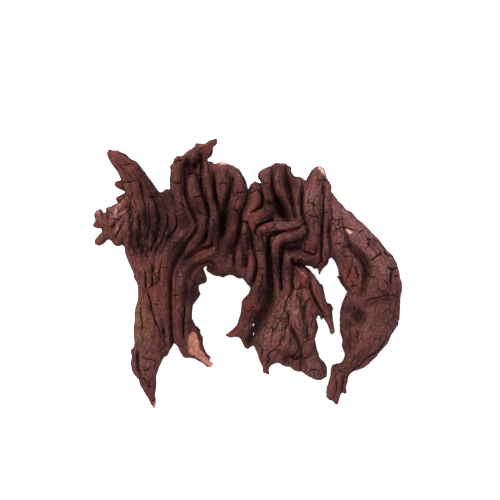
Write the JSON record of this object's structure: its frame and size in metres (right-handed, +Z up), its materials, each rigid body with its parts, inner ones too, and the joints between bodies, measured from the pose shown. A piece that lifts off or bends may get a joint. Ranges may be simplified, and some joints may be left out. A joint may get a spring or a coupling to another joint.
{
  "type": "piece of driftwood",
  "caption": "Weathered root of driftwood, pleated in deep folds, with a horn, legs, a ragged shield and a long curved arm, lying with its broad side up.",
  "frame": {"origin": "under the middle of the bounding box, on the surface that the wood lies on", "axes": "+Z up out of the broad folded side, +X along the length towards the long curved arm, +Y towards the horn and the crown of folds"},
  "size_m": [0.3071, 0.2679, 0.0633],
  "materials": {
    "weathered_wood": "dry, cracked and fibrous, dark reddish brown"
  },
  "bodies": {
    "root": {"driftwood": "weathered_wood"}
  },
  "joints": []
}
